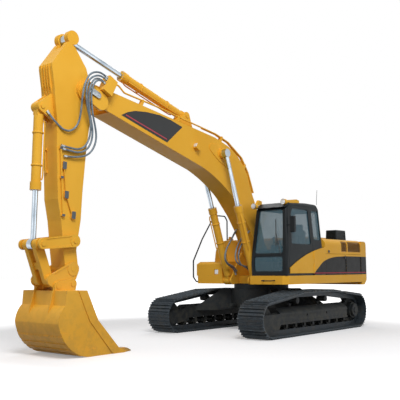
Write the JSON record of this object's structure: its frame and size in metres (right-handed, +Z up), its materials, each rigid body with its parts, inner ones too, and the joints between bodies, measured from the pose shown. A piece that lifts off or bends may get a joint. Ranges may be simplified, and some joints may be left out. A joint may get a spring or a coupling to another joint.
{
  "type": "crawler excavator",
  "caption": "Crawler excavator with an enclosed cab, swinging upper body, boom, stick and digging bucket worked by hydraulic cylinders.",
  "frame": {"origin": "on the ground, at the middle of the parked machine's length and width", "axes": "+X forward towards the bucket, +Y to the left, the cab's side, +Z up"},
  "size_m": [9.845, 3.24, 5.7327],
  "materials": {
    "body_yellow": "gloss enamel",
    "dark_frame": "satin enamel",
    "track_steel": "worn",
    "cab_black": "satin enamel",
    "cab_glazing": "clear",
    "chrome_rod": "polished",
    "bucket_edge_steel": "worn",
    "seat_cloth": "woven",
    "cab_trim": "grained"
  },
  "bodies": {
    "undercarriage": {"car_body": "dark_frame", "swing_bearing": "dark_frame", "track_frame_left": "dark_frame", "track_frame_right": "dark_frame", "track_left": "track_steel", "track_right": "track_steel", "idlers": "dark_frame", "sprockets": "dark_frame", "bottom_rollers": "dark_frame", "carrier_rollers": "dark_frame"},
    "house": {"upper_frame": "body_yellow", "counterweight": "body_yellow", "engine": "cab_black", "top_cover": "body_yellow", "louvre_box": "cab_black", "fuel_tank": "body_yellow", "tool_box": "body_yellow", "cab_shell": "cab_black", "cab_glass": "cab_glazing", "seat": "seat_cloth", "consoles": "cab_trim", "handrail": "cab_black", "roof_lamps": "body_yellow"},
    "cab_door": {"cab_door": "cab_black", "cab_door_glass": "cab_glazing"},
    "engine_hood": {"engine_hood": "body_yellow"},
    "left_front_door": {"left_front_door": "body_yellow"},
    "left_rear_door": {"left_rear_door": "body_yellow"},
    "right_front_door": {"right_front_door": "body_yellow"},
    "right_rear_door": {"right_rear_door": "body_yellow"},
    "tool_box_lid": {"tool_box_lid": "body_yellow"},
    "boom": {"boom": "body_yellow"},
    "boom_barrels": {"boom_cylinder_barrels": "body_yellow"},
    "boom_rods": {"boom_cylinder_rods": "chrome_rod"},
    "stick_barrel": {"stick_cylinder_barrel": "body_yellow"},
    "stick_rod": {"stick_cylinder_rod": "chrome_rod"},
    "stick": {"stick": "body_yellow"},
    "bucket_barrel": {"bucket_cylinder_barrel": "body_yellow"},
    "bucket_rod": {"bucket_cylinder_rod": "chrome_rod"},
    "rockers": {"rockers": "body_yellow"},
    "power_link": {"power_link": "body_yellow"},
    "bucket": {"coupler": "body_yellow", "bucket": "body_yellow", "bucket_teeth": "bucket_edge_steel"}
  },
  "joints": [
    {"name": "swing", "type": "hinge", "parent": "undercarriage", "child": "house", "pos_m": [-1.8375, 0, 1.11], "axis": [0, 0, 1], "continuous": true},
    {"name": "boom_lift", "type": "hinge", "parent": "house", "child": "boom", "pos_m": [-1.5675, 0, 1.88], "axis": [0, -1, 0], "range_deg": [-74.3, 33.6]},
    {"name": "stick_in", "type": "hinge", "parent": "boom", "child": "stick", "pos_m": [3.91861, 0, 4.65941], "axis": [0, 1, 0], "range_deg": [-70.1, 51.3]},
    {"name": "bucket_open", "type": "hinge", "parent": "stick", "child": "bucket", "pos_m": [4.15297, 0, 1.468], "axis": [0, -1, 0], "range_deg": [-93, 82.3]},
    {"name": "boom_barrel_turn", "type": "hinge", "parent": "house", "child": "boom_barrels", "pos_m": [-1.0325, 0, 1.185], "axis": [0, -1, 0], "range_deg": [-70.2, 32.3]},
    {"name": "boom_rod_slide", "type": "slide", "parent": "boom_barrels", "child": "boom_rods", "axis": [0.341, 0, 0.9401], "range_m": [-1.013, 0.464]},
    {"name": "stick_barrel_turn", "type": "hinge", "parent": "boom", "child": "stick_barrel", "pos_m": [1.04257, 0, 4.73812], "axis": [0, 1, 0], "range_deg": [-9.2, 7]},
    {"name": "stick_rod_slide", "type": "slide", "parent": "stick_barrel", "child": "stick_rod", "axis": [0.9649, 0, 0.2626], "range_m": [-1.017, 0.747]},
    {"name": "bucket_barrel_turn", "type": "hinge", "parent": "stick", "child": "bucket_barrel", "pos_m": [4.77083, 0, 4.25072], "axis": [0, -1, 0], "range_deg": [-4.1, 3.7]},
    {"name": "bucket_rod_slide", "type": "slide", "parent": "bucket_barrel", "child": "bucket_rod", "axis": [0.0261, 0, -0.9997], "range_m": [-0.607, 0.685]},
    {"name": "rocker_turn", "type": "hinge", "parent": "stick", "child": "rockers", "pos_m": [4.1627, 0, 1.95001], "axis": [0, -1, 0], "range_deg": [-70.4, 62.4]},
    {"name": "link_turn", "type": "hinge", "parent": "rockers", "child": "power_link", "pos_m": [4.83254, 0, 1.8849], "axis": [0, -1, 0], "range_deg": [-46.6, 52.6]},
    {"name": "cab_door_swing", "type": "hinge", "parent": "house", "child": "cab_door", "pos_m": [-1.8775, 1.476, 1.345], "axis": [0, 0, 1], "range_deg": [0, 150]},
    {"name": "hood_lift", "type": "hinge", "parent": "house", "child": "engine_hood", "pos_m": [-4.1975, 0, 2.1703], "axis": [0, -1, 0], "range_deg": [0, 65]},
    {"name": "left_front_door_swing", "type": "hinge", "parent": "house", "child": "left_front_door", "pos_m": [-3.4325, 1.473, 1.306], "axis": [0, 0, 1], "range_deg": [0, 100]},
    {"name": "left_rear_door_swing", "type": "hinge", "parent": "house", "child": "left_rear_door", "pos_m": [-4.2372, 1.473, 1.306], "axis": [0, 0, 1], "range_deg": [0, 100]},
    {"name": "right_front_door_swing", "type": "hinge", "parent": "house", "child": "right_front_door", "pos_m": [-2.4375, -1.473, 1.306], "axis": [0, 0, 1], "range_deg": [0, 100]},
    {"name": "right_rear_door_swing", "type": "hinge", "parent": "house", "child": "right_rear_door", "pos_m": [-4.2372, -1.473, 1.306], "axis": [0, 0, -1], "range_deg": [0, 100]},
    {"name": "tool_box_lid_lift", "type": "hinge", "parent": "house", "child": "tool_box_lid", "pos_m": [-1.5015, 0, 1.634], "axis": [0, -1, 0], "range_deg": [0, 85]}
  ],
  "couplings": [
    {"joint": "boom_barrel_turn", "follows": "boom_lift", "ratio": 0.931},
    {"joint": "boom_rod_slide", "follows": "boom_lift", "m_per_rad": 0.7738},
    {"joint": "stick_barrel_turn", "follows": "stick_in", "ratio": 0.117},
    {"joint": "stick_rod_slide", "follows": "stick_in", "m_per_rad": 0.8234},
    {"joint": "bucket_barrel_turn", "follows": "bucket_open", "ratio": 0.0331},
    {"joint": "bucket_rod_slide", "follows": "bucket_open", "m_per_rad": -0.4157},
    {"joint": "rocker_turn", "follows": "bucket_open", "ratio": 0.746},
    {"joint": "link_turn", "follows": "bucket_open", "ratio": -0.5544}
  ]
}
